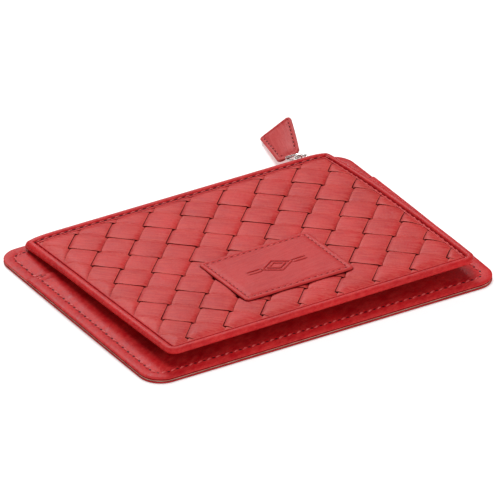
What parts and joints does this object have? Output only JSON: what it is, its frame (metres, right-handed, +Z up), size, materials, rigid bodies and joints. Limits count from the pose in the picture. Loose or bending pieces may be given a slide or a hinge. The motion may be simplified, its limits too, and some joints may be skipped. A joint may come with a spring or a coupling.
{
  "type": "card holder",
  "caption": "Slim leather card holder with an open card pocket and a hinged zip pouch with a woven front and a leather pull.",
  "frame": {"origin": "centre of the card panel's underside, which lies on the table", "axes": "+X along the zip, with the pull near its +X end; +Y to the hinged back edge; +Z up, out of the woven front"},
  "size_m": [0.102, 0.0938, 0.0075],
  "materials": {
    "smooth_leather": "semi-gloss grained",
    "woven_leather": "semi-gloss grained",
    "thread": "waxed",
    "lining": "matt",
    "reinforcement": "raw edge",
    "zip_tape": "matt",
    "zip_metal": "polished"
  },
  "bodies": {
    "root": {"underside_panel": "smooth_leather", "reinforcement_sheet": "reinforcement", "slot_panel": "smooth_leather", "pocket_panel": "smooth_leather", "panel_stitching": "thread", "pocket_bar_tacks": "thread", "hinge_strip_lower": "smooth_leather"},
    "pouch": {"hinge_strip_upper": "smooth_leather", "pouch_back_panel": "smooth_leather", "pouch_back_lining": "lining", "pouch_front_lining": "lining", "weave_backing": "lining", "weave_strips_left": "woven_leather", "weave_strips_right": "woven_leather", "pouch_border": "smooth_leather", "pouch_side_wall": "smooth_leather", "border_stitching": "thread", "label_patch": "smooth_leather", "patch_stitching": "thread", "zip_tape_upper": "zip_tape", "zip_tape_lower": "zip_tape", "zip_teeth_upper": "zip_metal", "zip_teeth_lower": "zip_metal", "zip_top_stop": "zip_metal", "zip_bottom_stop": "zip_metal"},
    "slider": {"slider_body": "zip_metal", "slider_bridge": "zip_metal"},
    "link": {"pull_link": "zip_metal"},
    "pull": {"pull_front_leather": "smooth_leather", "pull_back_leather": "smooth_leather", "pull_stitching": "thread"}
  },
  "joints": [
    {"name": "pouch_flap", "type": "hinge", "parent": "root", "child": "pouch", "pos_m": [0, 0.0378, 0.00152], "axis": [-1, 0, 0], "range_deg": [-2, 65]},
    {"name": "zip_slide", "type": "slide", "parent": "pouch", "child": "slider", "axis": [-1, 0, 0], "range_m": [0, 0.075]},
    {"name": "link_swing", "type": "hinge", "parent": "slider", "child": "link", "pos_m": [0.0388, 0.03759, 0.00353], "axis": [0, -0.0436, -0.999], "range_deg": [-5, 50]},
    {"name": "pull_swivel", "type": "hinge", "parent": "link", "child": "pull", "pos_m": [0.03597, 0.04041, 0.00341], "axis": [0, -0.0436, -0.999], "range_deg": [-60, 10]}
  ]
}
